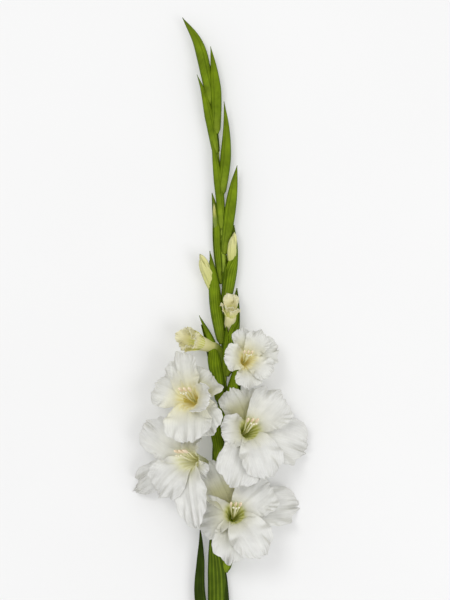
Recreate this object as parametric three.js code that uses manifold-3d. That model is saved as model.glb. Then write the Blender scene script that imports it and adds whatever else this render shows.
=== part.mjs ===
// A cut gladiolus lying on its back with its flowers up, in millimetres.
// +Y runs up the stem and +Z is up from the table. The origin is the middle of the flat spot
// that the lowest leaf sheath rests on.

import * as THREE from 'three';
import { mergeVertices } from 'three/addons/utils/BufferGeometryUtils.js';
import Module from 'manifold-3d';

const wasm = await Module();
wasm.setup();

// Outlines are given as seen from an eye straight above this point
const EYE = new THREE.Vector3(4, 440, 2200);

// Clearance between neighbours, and the thickness of the blades
const GAP = 0.3;
const PETAL = 0.9;

// The stem and the three leaves, from the cut end at the bottom
const CUT_END = -35;
const STEM_LINE = [
  [0, CUT_END, 8], [0, 60, 8], [-1, 172, 8], [-2, 220, 8], [-4, 290, 8], [1, 340, 8],
  [4.5, 400, 8], [5, 440, 8], [2, 500, 8], [0, 540, 8], [-4, 590, 8], [-8, 640, 8], [-11, 674, 8],
];
const STEM_RADIUS = { root: 5.2, tip: 1.3 };

// Each leaf is a sword whose foot is a sheath round the stem: [x, y, z, half width, half depth]
const SHEATH_FLAT = 8.6;
const LEAVES = [
  {
    name: 'leaf_middle',
    line: [
      [0, CUT_END, 8, 6.9, 6.9], [0, 40, 8, 6.9, 6.8], [-1.5, 90, 8.4, 8, 6.8], [-3.6, 130, 8.8, 9.4, 6.6],
      [-4.4, 165, 9.4, 9, 6.2], [-6, 185, 11, 7, 4.4], [-8, 202, 13, 3.6, 2], [-9.6, 212, 14, 0.6, 0.5],
    ],
  },
  {
    name: 'leaf_left',
    line: [
      [0, CUT_END, 8.2, 8.9, SHEATH_FLAT], [0, 30, 8.2, 8.9, SHEATH_FLAT], [-6, 80, 8.6, 7.4, 5.5],
      [-16, 115, 9.4, 6.3, 2.4], [-21.3, 148, 10, 5.6, 1.5], [-20.4, 180, 10.6, 4, 1.2],
      [-20.2, 200, 11, 1.8, 0.8], [-20.8, 210, 11.2, 0.5, 0.5],
    ],
  },
  {
    name: 'leaf_right',
    line: [
      [2.5, CUT_END, 9.3, 8.3, 7.4], [2.6, 20, 9.3, 7.8, 7], [3, 70, 9.3, 7, 6.6], [3.4, 110, 9, 5.6, 6],
      [3.6, 140, 8.6, 4.6, 4.6], [3.2, 162, 8.2, 3, 3], [2.6, 178, 8, 0.6, 0.6],
    ],
  },
];

// Closed green buds from the top down: side is -1 on the left and 1 on the right
const BUDS = [
  {
    side: -1, half: 6.2, widest: 0.52, taper: 1.7,
    line: [[-9.4, 634, 9], [-14, 664, 11], [-23, 698, 11], [-38.5, 722.5, 12]],
  },
  {
    side: 1, half: 6, widest: 0.5, taper: 1.3,
    line: [[-5, 606, 10], [-5.4, 642, 12], [-7.6, 672, 13], [-10.5, 693.5, 14]],
  },
  {
    side: -1, half: 5, widest: 0.46, taper: 1.3,
    line: [[-4.6, 586, 10], [-10.6, 620, 11], [-18, 650, 12], [-24, 665.5, 13]],
  },
  {
    side: 1, half: 5.8, widest: 0.42, taper: 1.3,
    line: [[0, 544, 10], [4, 580, 12], [5, 612, 13], [3, 638.5, 14]],
  },
  {
    side: -1, half: 4.8, widest: 0.48, taper: 1.4,
    line: [[1.4, 511, 10], [-1, 546, 11], [-6, 584, 12], [-10, 606, 13]],
  },
  {
    side: 1, half: 6, widest: 0.5, taper: 1.9,
    line: [[3.6, 486, 10], [7.4, 520, 12], [12, 552, 13], [16, 574.5, 14]],
  },
];

// Bract pairs that have opened round a bud or a flower, numbered on from the closed buds
const SPATHES = [
  {
    side: -1, half: 5.8, depth: 4.6,
    line: [[1, 456, 5.6], [-1.8, 488, 4.6], [-4, 520, 7], [-9, 547, 10]],
  },
  {
    side: 1, half: 6.6, depth: 6,
    line: [[4, 434, 9], [8.6, 462, 11], [12, 490, 11.5], [13, 515, 11]],
  },
  {
    side: -1, half: 6.2, depth: 6,
    line: [[1, 396, 9], [-4.4, 428, 11], [-7, 456, 11.5], [-11.3, 489, 11]],
  },
  {
    side: 1, half: 7.6, depth: 7.4,
    line: [[5, 364, 9], [9.4, 396, 12.5], [13.6, 427, 13], [16, 452, 11]],
  },
  {
    side: -1, half: 6.8, depth: 7.6,
    line: [[0, 336, 9], [-4.6, 368, 12], [-10.6, 396, 15], [-22, 424.5, 13]],
  },
  {
    side: 1, half: 7.8, depth: 7.2,
    line: [[3, 304, 9], [9.4, 335, 12], [15, 361, 14], [17, 386, 13]],
  },
  {
    side: -1, half: 6, depth: 5.4,
    line: [[0, 272, 9], [-3.6, 302, 10], [-11, 330, 11], [-20, 352, 11]],
  },
  {
    side: 1, half: 6.6, depth: 5.8,
    line: [[2, 236, 9], [9, 262, 10], [13, 290, 11], [16, 318, 12]],
  },
  {
    side: -1, half: 6.2, depth: 5.6,
    line: [[-3, 202, 9], [-11, 228, 9], [-15, 255, 9], [-18, 280, 10]],
  },
  {
    side: 1, half: 6.2, depth: 5.6,
    line: [[4, 168, 9], [8.5, 190, 10], [12, 218, 10], [15, 248, 11]],
  },
];

// Buds that show colour inside their bracts: [x, y, z] and the radius at the widest place
const COLOURED_BUDS = [
  {
    half: 2.2, widest: 0.7, taper: 2.4,
    line: [[0, 474, 6], [-2.8, 498, 6], [-5.6, 518, 9], [-7.2, 535, 11.4]],
  },
  {
    half: 4.7, widest: 0.72, taper: 4,
    line: [[6, 446, 9], [8.8, 468, 11], [9.8, 488, 16], [12, 505, 18]],
  },
  {
    half: 5.4, widest: 0.78, taper: 4,
    line: [[-1, 408, 9], [-5, 438, 12], [-12, 462, 16], [-19.6, 481, 18]],
  },
];

// Flowers from the top down. middle is the rim of the throat, lean is how far its axis points to
// the right and up the stem. A tip is where a petal ends. inner petals lie in front of outer ones.
const FLOWERS = [
  {
    name: 'petals_10', size: 0.62, middle: [10, 431, 23], lean: [0.02, 0.82], closed: true,
    petals: [
      { tip: [18, 441, 27], half: 5.6, inner: true },
      { tip: [5.5, 447, 22], half: 5.6, inner: true },
      { tip: [8, 431, 35], half: 5.6, inner: true },
      { tip: [13, 446, 20], half: 6 },
      { tip: [1, 436, 28], half: 6 },
      { tip: [15, 431, 35], half: 6 },
    ],
  },
  {
    name: 'petals_11', size: 0.86, middle: [-29, 399.5, 26], lean: [-0.85, 0.28], closed: true,
    petals: [
      { tip: [-46, 406, 22], half: 8, inner: true },
      { tip: [-30, 411, 36], half: 8.5, inner: true },
      { tip: [-37, 390, 34], half: 8.5, inner: true },
      { tip: [-38, 410, 26], half: 9 },
      { tip: [-27, 400, 44], half: 9.5 },
      { tip: [-42, 395, 26], half: 9 },
    ],
  },
  {
    name: 'bloom_12', size: 0.8, middle: [26, 381, 40], lean: [0.15, 0.2],
    petals: [
      { tip: [58, 393, 26], half: 16, arch: 5 },
      { tip: [42, 407, 34], half: 14, inner: true, arch: 5 },
      { tip: [22, 413, 32], half: 13, arch: 4 },
      { tip: [3, 383, 46], half: 15, inner: true, arch: 4, fan: 1.2 },
      { tip: [29, 352, 58], half: 15, arch: 3 },
      { tip: [50, 366, 44], half: 15, inner: true, arch: 5 },
    ],
  },
  {
    name: 'bloom_13', size: 1, middle: [-33, 342, 46], lean: [-0.3, 0.2],
    petals: [
      { tip: [-9, 368, 32], half: 26, arch: 5, fan: 1.5 },
      { tip: [-39, 387, 30], half: 16, inner: true, arch: 5, fan: 1.1 },
      { tip: [-66, 358, 26], half: 22, arch: 6, fan: 1.3 },
      { tip: [-31, 297, 60], half: 26, inner: true, arch: 4, fan: 1.3 },
      { tip: [-7, 305, 57], half: 20, arch: 4, fan: 1.6 },
      { tip: [-11, 340, 66], half: 19, inner: true, arch: 8, cup: 0.06, fan: 1.3, belly: 8 },
    ],
  },
  {
    name: 'bloom_14', size: 1, middle: [29, 311, 42], lean: [0.25, 0.25],
    petals: [
      { tip: [87, 291, 12], half: 26, arch: 8 },
      { tip: [61, 344, 24], half: 25, inner: true, arch: 6, fan: 1.1 },
      { tip: [10, 353, 28], half: 20, arch: 5, fan: 1.1 },
      { tip: [0, 307, 50], half: 19, inner: true, arch: 3, twist: -0.4, fan: 1.3 },
      { tip: [11, 252, 58], half: 24, arch: 4, fan: 1.1 },
      { tip: [46, 262, 50], half: 24, inner: true, arch: 5, fan: 1.1 },
    ],
  },
  {
    name: 'bloom_15', size: 1, middle: [-35, 281, 40], lean: [-0.5, 0.12],
    petals: [
      { tip: [-78, 317, 18], half: 20, arch: 5, fan: 1.3 },
      { tip: [-62, 247, 30], half: 23, inner: true, arch: 7, point: 0.4, fan: 1.2 },
      { tip: [-89, 249, 0], half: 14, arch: 12, point: 1 },
      { tip: [-23, 211, 54], half: 17, inner: true, arch: 4, fan: 1.1 },
      { tip: [-15, 262, 44], half: 13, arch: 2 },
      { tip: [-25, 306, 34], half: 14, inner: true, arch: 3 },
    ],
  },
  {
    name: 'bloom_16', size: 1, middle: [14, 227, 40], lean: [0.08, 0.28],
    petals: [
      { tip: [79, 236, 0], half: 21, arch: 10 },
      { tip: [48, 256, 24], half: 27, inner: true, arch: 5, fan: 1.2 },
      { tip: [-11, 280, 22], half: 22, arch: 4, fan: 1.2 },
      { tip: [-21, 219, 24], half: 24, inner: true, arch: 4, fan: 1.35 },
      { tip: [7, 174, 46], half: 19, arch: 4, point: 0.9, fan: 1.25 },
      { tip: [42, 183, 52], half: 22, inner: true, arch: 4, point: 0.6, fan: 1.2 },
    ],
  },
];

// A whole flower's throat: its radius at the rim and at the floor, and how deep it is
const THROAT = { rim: 11.5, floor: 4, depth: 30, wall: 1.4, lip: -8, root: -15 };
const TUBE_RADIUS = 3.4;

// The tube leaves the line of its bracts at this share of their length
const TUBE_START = 0.14;

// How a petal is drawn, as shares of its length: where its end starts to round off and where it
// would close, how far its corners are set back, and where its loose margin starts
const PETAL_FORM = { rounding: 0.68, end: 1.04, setBack: 0.16, margin: 0.45 };

// How far the inner and the outer petals stand off the middle of the throat's wall
const LAYER = 1.5;

// The share of its width that is left where a petal or a bud ends
const BLUNT = 0.05;

const RUFFLE = { height: 2.6, waves: 4, whenClosed: 0.4 };

// A bract pair's usual shape, and the step where the inner bract shows: its angles from the front
const BRACTS = { depth: 0.8, widest: 0.42, taper: 1.8, root: 0.72, inner: 0.84, step: [0.2, 2.3] };
const BUD_FOOT = { share: 0.6, length: 0.07 };
const ROLLED = { root: 0.3, folds: 3, turns: 1.5, innermost: 0.9, step: 0.16 };
const STAMEN_RADII = { root: 1.9, thread: 0.6, anther: 1.2, style: 0.6 };

// An anther starts at this share of its thread
const ANTHER_START = 0.72;

const STEM_GREEN = { color: 0x7f9c3a, roughness: 0.55, metalness: 0 };
const LEAF_GREEN = { color: 0x4f7320, roughness: 0.5, metalness: 0 };
const BUD_GREEN = { color: 0x6f9428, roughness: 0.5, metalness: 0 };
const WHITE = { color: 0xf2f1e6, roughness: 0.6, metalness: 0 };
const CREAM = { color: 0xf1ecc4, roughness: 0.6, metalness: 0 };
const POLLEN = { color: 0xd9c9a0, roughness: 0.7, metalness: 0 };

const { smoothstep, lerp } = THREE.MathUtils;

// The place at height z that is seen at x and y from the eye
function seen([x, y, z]) {
  const nearer = 1 - z / EYE.z;
  return new THREE.Vector3(EYE.x + (x - EYE.x) * nearer, EYE.y + (y - EYE.y) * nearer, z);
}

function lineThrough(points) {
  return new THREE.CatmullRomCurve3(points.map(seen));
}

// The same closed shape with each corner held once
function joinedCorners(geometry) {
  const bare = geometry.clone();
  bare.deleteAttribute('uv');
  bare.deleteAttribute('normal');
  return mergeVertices(bare, 1e-4);
}

function toSolid(geometry) {
  const joined = joinedCorners(geometry);
  return new wasm.Manifold(new wasm.Mesh({
    numProp: 3,
    vertProperties: Float32Array.from(joined.attributes.position.array),
    triVerts: Uint32Array.from(joined.index.array),
  }));
}

// The largest body of a solid, without loose scraps
function mainBody(solid) {
  return solid.decompose().reduce((best, body) => (body.volume() > best.volume() ? body : best));
}

function meet(a, b) {
  const first = a.boundingBox();
  const second = b.boundingBox();
  return [0, 1, 2].every((k) => first.min[k] < second.max[k] && second.min[k] < first.max[k]);
}

function cutClear(solid, neighbours) {
  return neighbours
    .filter((other) => meet(solid, other))
    .reduce((left, other) => left.subtract(other), solid);
}

// Moves every corner of a closed geometry by a rule
function shaped(geometry, place) {
  const { position } = geometry.attributes;
  const corner = new THREE.Vector3();
  for (let i = 0; i < position.count; i += 1) {
    position.setXYZ(i, ...place(corner.fromBufferAttribute(position, i)));
  }
  return geometry;
}

// A round body along a curve. radius(t, angle) has its angle from the front, towards the right.
function stalk(curve, radius, sides, steps, front = new THREE.Vector3(0, 0, 1), turn = 0) {
  const body = joinedCorners(new THREE.CylinderGeometry(1, 1, 1, sides, steps).rotateY(turn));
  return toSolid(shaped(body, (corner) => {
    const t = THREE.MathUtils.clamp(corner.y + 0.5, 0, 1);
    const centre = curve.getPointAt(t);
    const heading = curve.getTangentAt(t);
    const near = front.clone().addScaledVector(heading, -heading.dot(front)).normalize();
    const right = new THREE.Vector3().crossVectors(heading, near);
    const out = radius(t, Math.atan2(corner.x, corner.z));
    centre.addScaledVector(right, corner.x * out).addScaledVector(near, corner.z * out);
    centre.z = Math.max(centre.z, 0);
    return centre;
  }));
}

// A blade of even thickness: surface(u, v) is its middle, u from root to tip and v across, -1 to 1.
// Both faces are split into triangles alike.
function blade(surface, across, along, thickness) {
  const sheet = new THREE.PlaneGeometry(2, 1, across, along);
  const { position } = sheet.attributes;
  const count = position.count;
  const corners = new Float32Array(count * 6);
  const step = 1e-3;
  for (let i = 0; i < count; i += 1) {
    const v = position.getX(i);
    const u = position.getY(i) + 0.5;
    const middle = surface(u, v);
    const overU = surface(u + step, v).sub(surface(u - step, v));
    const overV = surface(u, v + step).sub(surface(u, v - step));
    const normal = overV.cross(overU).normalize().multiplyScalar(thickness / 2);
    middle.z = Math.max(middle.z, thickness / 2);
    middle.clone().add(normal).toArray(corners, i * 3);
    middle.clone().sub(normal).toArray(corners, (count + i) * 3);
  }
  const faces = Array.from(sheet.index.array);
  const front = faces.slice();
  for (let i = 0; i < front.length; i += 3) {
    faces.push(front[i + 2] + count, front[i + 1] + count, front[i] + count);
  }
  const at = (column, row) => row * (across + 1) + column;
  const rim = [];
  for (let k = 0; k < across; k += 1) rim.push(at(k, along));
  for (let k = along; k > 0; k -= 1) rim.push(at(across, k));
  for (let k = across; k > 0; k -= 1) rim.push(at(k, 0));
  for (let k = 0; k < along; k += 1) rim.push(at(0, k));
  rim.forEach((here, k) => {
    const next = rim[(k + 1) % rim.length];
    faces.push(next, here, here + count, next, here + count, next + count);
  });
  const closed = new THREE.BufferGeometry();
  closed.setAttribute('position', new THREE.BufferAttribute(corners, 3));
  closed.setIndex(faces);
  return toSolid(closed);
}

// A long bud's half width at t, as a share of its widest
function budShape(t, widest, taper, root) {
  const foot = lerp(BUD_FOOT.share, 1, smoothstep(t, 0, BUD_FOOT.length));
  if (t < widest) {
    return foot * lerp(root, 1, Math.sin((Math.PI / 2) * (t / widest)));
  }
  return Math.max(1 - ((t - widest) / (1 - widest)) ** taper, BLUNT);
}

function ellipse(angle, half, depth) {
  return 1 / Math.hypot(Math.sin(angle) / half, Math.cos(angle) / depth);
}

const stemLine = lineThrough(STEM_LINE);

function stem(grow) {
  const radius = (t) => lerp(STEM_RADIUS.root, STEM_RADIUS.tip, t ** 1.2) + grow;
  return stalk(stemLine, radius, 10, 16);
}

// A sword leaf as one solid body, from the corners of its line
function leafBody({ line }, grow) {
  const curve = lineThrough(line);
  const last = line.length - 1;
  const spread = (index) => new THREE.CatmullRomCurve3(
    line.map((corner, k) => new THREE.Vector3(k, corner[index], 0)),
  );
  const halves = spread(3);
  const depths = spread(4);
  const radius = (t, angle) => {
    const knot = curve.getUtoTmapping(t);
    const half = halves.getPoint(knot).y + grow;
    const depth = depths.getPoint(knot).y + grow;
    return ellipse(angle, half, depth);
  };
  return stalk(curve, radius, 10, Math.round(last * 1.5), new THREE.Vector3(0, 0, 1), Math.PI / 10);
}

// A pair of bracts: the outer one wraps the inner one, which shows along a step at the front
function bractPair({ side, half, depth, widest = BRACTS.widest, taper = BRACTS.taper, line }, grow) {
  const curve = lineThrough(line);
  const [from, to] = BRACTS.step;
  const deep = depth ?? half * BRACTS.depth;
  const radius = (t, angle) => {
    const turned = -side * angle;
    const innerShows = turned > from && turned < to && t > TUBE_START;
    const wide = budShape(t, widest, taper, BRACTS.root) * (innerShows ? BRACTS.inner : 1);
    return ellipse(angle, half * wide, deep * wide) + grow;
  };
  return stalk(curve, radius, 8, 7);
}

// Petals still rolled round each other, with the edge of each showing as a winding fold
function rolledBud({ half, widest, taper, line }, grow) {
  const curve = lineThrough(line);
  const radius = (t, angle) => {
    const winding = (angle * ROLLED.folds) / (2 * Math.PI) + t * ROLLED.turns;
    const fold = ROLLED.innermost + ROLLED.step * (winding - Math.floor(winding));
    return half * budShape(t, widest, taper, ROLLED.root) * fold + grow;
  };
  return stalk(curve, radius, 12, 8, new THREE.Vector3(1, 0, 0));
}

// The frame of a flower: its own Y is the axis of its throat
function frameOf({ middle, lean }) {
  const [right, up] = lean;
  const axis = new THREE.Vector3(right, up, Math.sqrt(1 - right * right - up * up));
  const first = new THREE.Vector3(1, 0, 0).addScaledVector(axis, -axis.x).normalize();
  const second = new THREE.Vector3().crossVectors(first, axis);
  const matrix = new THREE.Matrix4().makeBasis(first, axis, second).setPosition(seen(middle));
  return { axis, matrix, inverse: matrix.clone().invert() };
}

// The radius of the throat's wall at a height, where 0 is the rim
function throatRadius(height, size) {
  const rise = THREE.MathUtils.clamp(height / (THROAT.depth * size) + 1, 0, 1.2);
  return size * (THROAT.floor + (THROAT.rim - THROAT.floor) * rise ** 1.3);
}

// One petal's middle surface, from its root in the throat's wall to its tip
function petalSurface(flower, frame, petal) {
  const { size, closed = false } = flower;
  const { half, twist = 0, inner = false, point = 0.5, fan = 0.85, belly = 0 } = petal;
  const { arch = closed ? 2 : 4, cup = closed ? 0.03 : 0.012 } = petal;
  const { rounding, end, setBack, margin } = PETAL_FORM;
  const tip = seen(petal.tip).applyMatrix4(frame.inverse);
  const reach = Math.hypot(tip.x, tip.z);
  const turn = Math.atan2(tip.z, tip.x);
  const outward = new THREE.Vector3(Math.cos(turn), 0, Math.sin(turn));
  const aside = new THREE.Vector3(-Math.sin(turn), 0, Math.cos(turn));
  const up = new THREE.Vector3(0, 1, 0);
  const rootHeight = THROAT.root * size;
  const rootRadius = throatRadius(rootHeight, size);
  const rib = new THREE.CubicBezierCurve(
    new THREE.Vector2(rootRadius, rootHeight),
    new THREE.Vector2(rootRadius + 3.5 * size, 1.2 * size),
    new THREE.Vector2(lerp(rootRadius, reach, 0.5) + belly, tip.y * 0.4 + arch),
    new THREE.Vector2(reach, tip.y),
  );
  return (u, v) => {
    const s = u - setBack * u ** 4 * v * v;
    const middle = rib.getPoint(s);
    const heading = rib.getTangent(THREE.MathUtils.clamp(s, 0, 1));
    const rounded = Math.max(s - rounding, 0) / (end - rounding);
    const closing = Math.max(1 - rounded ** 2, BLUNT) ** point;
    const wide = closing * ((fan * middle.x) ** -4 + half ** -4) ** -0.25;
    const bend = lerp(1 / throatRadius(Math.min(middle.y, 0), size), cup, smoothstep(s, 0.12, 0.5));
    const side = (Math.sin(bend * v * wide)) / bend;
    const rise = (Math.cos(bend * v * wide) - 1) / bend;
    const past = (s - margin) / (1 - margin);
    const around = Math.atan2(v, past);
    const loose = smoothstep(Math.hypot(v, Math.max(past, 0)), 0.4, 1.05) * smoothstep(s, 0.15, 0.5);
    const height = RUFFLE.height * (closed ? RUFFLE.whenClosed : size);
    const wave = height * loose * Math.sin(RUFFLE.waves * around);
    const layer = (inner ? -1 : 1) * LAYER * smoothstep(s, 0, 0.25);
    const tilt = twist * smoothstep(s, 0.2, 0.8);
    const behind = outward.clone().multiplyScalar(heading.y).addScaledVector(up, -heading.x);
    const offSide = side * Math.cos(tilt) - (rise + wave) * Math.sin(tilt);
    const offBack = side * Math.sin(tilt) + (rise + wave) * Math.cos(tilt) + layer;
    return outward.clone().multiplyScalar(middle.x).addScaledVector(up, middle.y)
      .addScaledVector(aside, offSide).addScaledVector(behind, offBack).applyMatrix4(frame.matrix);
  };
}

// The throat as a cup, closed below
function throatCup(flower, frame, grow, sides) {
  const { size } = flower;
  const thick = (THROAT.wall * size) / 2;
  const floor = -THROAT.depth * size;
  const levels = [0, 0.5, 1].map((share) => lerp(floor, THROAT.lip * size, share));
  const outside = levels.map((y) => new THREE.Vector2(throatRadius(y, size) + thick + grow, y));
  const inside = levels.slice(1).reverse().map((y) => new THREE.Vector2(throatRadius(y, size) - thick, y));
  const well = new THREE.Vector2(throatRadius(floor, size) - thick, floor + 4 * size);
  const hollow = grow > 0 ? [] : [...inside, well];
  const top = grow > 0 ? levels.at(-1) : well.y;
  const profile = [new THREE.Vector2(0, floor), ...outside, ...hollow, new THREE.Vector2(0, top)];
  return toSolid(new THREE.LatheGeometry(profile, sides).applyMatrix4(frame.matrix));
}

// The tube that carries a flower, from the foot of its bracts to the floor of its throat
function flowerTube(flower, frame, foot, grow) {
  const { size } = flower;
  const start = foot.getPointAt(TUBE_START);
  const end = new THREE.Vector3(0, (1 - THROAT.depth) * size, 0).applyMatrix4(frame.matrix);
  const length = start.distanceTo(end);
  const curve = new THREE.CubicBezierCurve3(
    start,
    start.clone().addScaledVector(foot.getTangentAt(TUBE_START), length * 0.4),
    end.clone().addScaledVector(frame.axis, -length * 0.35),
    end,
  );
  const radius = (t) => lerp(TUBE_RADIUS * 0.8, THROAT.floor * 1.05, t) * size + grow;
  return stalk(curve, radius, 8, 4, new THREE.Vector3(1, 0, 0));
}

function perianth(flower, foot, grow) {
  const frame = frameOf(flower);
  const fine = flower.closed ? [3, 3] : [4, 5];
  const sides = flower.closed ? 8 : 10;
  const body = throatCup(flower, frame, grow, sides).add(flowerTube(flower, frame, foot, grow));
  return flower.petals
    .map((petal) => blade(petalSurface(flower, frame, petal), ...fine, PETAL + 2 * grow))
    .reduce((whole, petal) => whole.add(petal), body);
}

// Three stamens and the style on one root at the throat's floor, arching under the upper petals
function stamens(flower) {
  const frame = frameOf(flower);
  const { size } = flower;
  const place = (x, y, z) => new THREE.Vector3(x, y, z).multiplyScalar(size).applyMatrix4(frame.matrix);
  const floor = 4 - THROAT.depth + GAP / size;
  const sideways = new THREE.Vector3(1, 0, 0);
  const rod = (points, radius, steps) => {
    const curve = new THREE.CatmullRomCurve3(points);
    return stalk(curve, radius, 4, steps, sideways);
  };
  const root = rod([place(0, floor, 0), place(0, floor + 3, -0.3)], () => STAMEN_RADII.root * size, 1);
  const anther = (t) => (t > ANTHER_START ? STAMEN_RADII.anther : STAMEN_RADII.thread);
  const threads = [-1, 0, 1].map((k) => rod([
    place(k * 0.6, floor + 1, 0),
    place(k * 2.2, -12, -2),
    place(k * 4.2, 2, -6),
    place(k * 5, 15, -7.5),
  ], (t) => anther(t) * size, 4));
  const forkAt = place(0, 10, -3);
  const stylePoints = [place(0, floor + 1, 0.4), place(0, -8, 0.6), forkAt];
  const style = rod(stylePoints, () => STAMEN_RADII.style * size, 2);
  const lobes = [-1, 0, 1].map((k) => rod([
    place(0, 8.5, -2.7), place(k * 1.6, 12, -2.6), place(k * 3, 15, -1.6 - Math.abs(k)),
  ], (t) => lerp(0.5, 0.9, t) * size, 1));
  return [...threads, style, ...lobes].reduce((whole, part) => whole.add(part), root);
}

function toMesh(name, solid, look) {
  const { vertProperties, triVerts, numProp } = solid.getMesh();
  const corners = new Float32Array((vertProperties.length / numProp) * 3);
  for (let i = 0; i < corners.length / 3; i += 1) {
    for (let k = 0; k < 3; k += 1) corners[i * 3 + k] = vertProperties[i * numProp + k];
  }
  const geometry = new THREE.BufferGeometry();
  geometry.setAttribute('position', new THREE.BufferAttribute(corners, 3));
  geometry.setIndex(Array.from(triVerts));
  geometry.computeVertexNormals();
  const mesh = new THREE.Mesh(geometry, new THREE.MeshStandardMaterial(look));
  mesh.name = name;
  return mesh;
}

const gladiolus = new THREE.Group();
const number = (k) => String(k).padStart(2, '0');

gladiolus.add(toMesh('stem', stem(0), STEM_GREEN));
const placed = [stem(GAP)];

for (const leaf of LEAVES) {
  gladiolus.add(toMesh(leaf.name, mainBody(cutClear(leafBody(leaf, 0), placed)), LEAF_GREEN));
  placed.push(leafBody(leaf, GAP));
}

// Flowers come first, because the bracts and the bud feet above them give way to them
const firstSpathe = BUDS.length + 1;
const feet = SPATHES.map(({ line }) => lineThrough(line));
const flowerFeet = feet.slice(COLOURED_BUDS.length);

COLOURED_BUDS.forEach((bud, k) => {
  const solid = mainBody(cutClear(rolledBud(bud, 0), placed));
  gladiolus.add(toMesh(`petals_${number(firstSpathe + k)}`, solid, CREAM));
});
FLOWERS.forEach((flower, k) => {
  const solid = mainBody(cutClear(perianth(flower, flowerFeet[k], 0), placed));
  gladiolus.add(toMesh(flower.name, solid, flower.closed ? CREAM : WHITE));
});
COLOURED_BUDS.forEach((bud) => placed.push(rolledBud(bud, GAP)));
FLOWERS.forEach((flower, k) => placed.push(perianth(flower, flowerFeet[k], GAP)));

FLOWERS.filter(({ closed }) => !closed).forEach((flower) => {
  gladiolus.add(toMesh(flower.name.replace('bloom', 'stamens'), stamens(flower), POLLEN));
});

for (let k = SPATHES.length - 1; k >= 0; k -= 1) {
  const solid = mainBody(cutClear(bractPair(SPATHES[k], 0), placed));
  gladiolus.add(toMesh(`spathe_${number(firstSpathe + k)}`, solid, BUD_GREEN));
  placed.push(bractPair(SPATHES[k], GAP));
}

for (let k = BUDS.length - 1; k >= 0; k -= 1) {
  const solid = mainBody(cutClear(bractPair(BUDS[k], 0), placed));
  gladiolus.add(toMesh(`bud_${number(k + 1)}`, solid, BUD_GREEN));
  placed.push(bractPair(BUDS[k], GAP));
}

export default gladiolus;
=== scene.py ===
"""A cut gladiolus lying on its back with its blooms up, seen from straight above.

Lengths are in millimetres until a piece is finished, and in metres after that. +Y runs up the stem
and +Z is up from the table.
"""
import math

import bmesh
import bpy
from mathutils import Matrix, Vector


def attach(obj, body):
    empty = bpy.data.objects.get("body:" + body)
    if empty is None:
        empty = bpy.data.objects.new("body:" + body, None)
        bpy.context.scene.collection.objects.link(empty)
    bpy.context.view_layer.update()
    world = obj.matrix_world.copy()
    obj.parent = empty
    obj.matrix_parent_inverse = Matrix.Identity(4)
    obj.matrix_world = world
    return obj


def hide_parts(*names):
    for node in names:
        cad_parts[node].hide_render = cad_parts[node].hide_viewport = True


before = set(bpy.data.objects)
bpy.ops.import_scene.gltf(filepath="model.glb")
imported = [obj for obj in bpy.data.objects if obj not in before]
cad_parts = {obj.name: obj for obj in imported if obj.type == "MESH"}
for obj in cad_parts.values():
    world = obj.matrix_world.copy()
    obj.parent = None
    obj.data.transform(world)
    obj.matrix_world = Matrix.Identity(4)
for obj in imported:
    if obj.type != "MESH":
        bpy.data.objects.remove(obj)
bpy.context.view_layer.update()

MM = 0.001
UP = Vector((0, 0, 1))
RIGHT = Vector((1, 0, 0))

# Outlines are given as seen from an eye straight above this point
EYE = Vector((4, 440, 2200))

# The stem and the leaves: [x, y, z], and for a leaf its half width and half depth too
STEM_LINE = [
    [0, -35, 8], [0, 60, 8], [-1, 172, 8], [-2, 220, 8], [-4, 290, 8], [1, 340, 8], [4.5, 400, 8],
    [5, 440, 8], [2, 500, 8], [0, 540, 8], [-4, 590, 8], [-8, 640, 8], [-11, 674, 8],
]
STEM_ROOT = 5.2
STEM_TIP = 1.3
LEAVES = {
    "leaf_middle": [
        [0, -35, 8, 6.9, 6.9], [0, 40, 8, 6.9, 6.8], [-1.5, 90, 8.4, 8, 6.8], [-3.6, 130, 8.8, 9.4, 6.6],
        [-4.4, 165, 9.4, 9, 6.2], [-6, 185, 11, 7, 4.4], [-8, 202, 13, 3.6, 2], [-9.6, 212, 14, 0.6, 0.5],
    ],
    "leaf_left": [
        [0, -35, 8.2, 8.9, 8.6], [0, 30, 8.2, 8.9, 8.6], [-6, 80, 8.6, 7.4, 5.5],
        [-16, 115, 9.4, 6.3, 2.4], [-21.3, 148, 10, 5.6, 1.5], [-20.4, 180, 10.6, 4, 1.2],
        [-20.2, 200, 11, 1.8, 0.8], [-20.8, 210, 11.2, 0.5, 0.5],
    ],
    "leaf_right": [
        [2.5, -35, 9.3, 8.3, 7.4], [2.6, 20, 9.3, 7.8, 7], [3, 70, 9.3, 7, 6.6], [3.4, 110, 9, 5.6, 6],
        [3.6, 140, 8.6, 4.6, 4.6], [3.2, 162, 8.2, 3, 3], [2.6, 178, 8, 0.6, 0.6],
    ],
}

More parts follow.
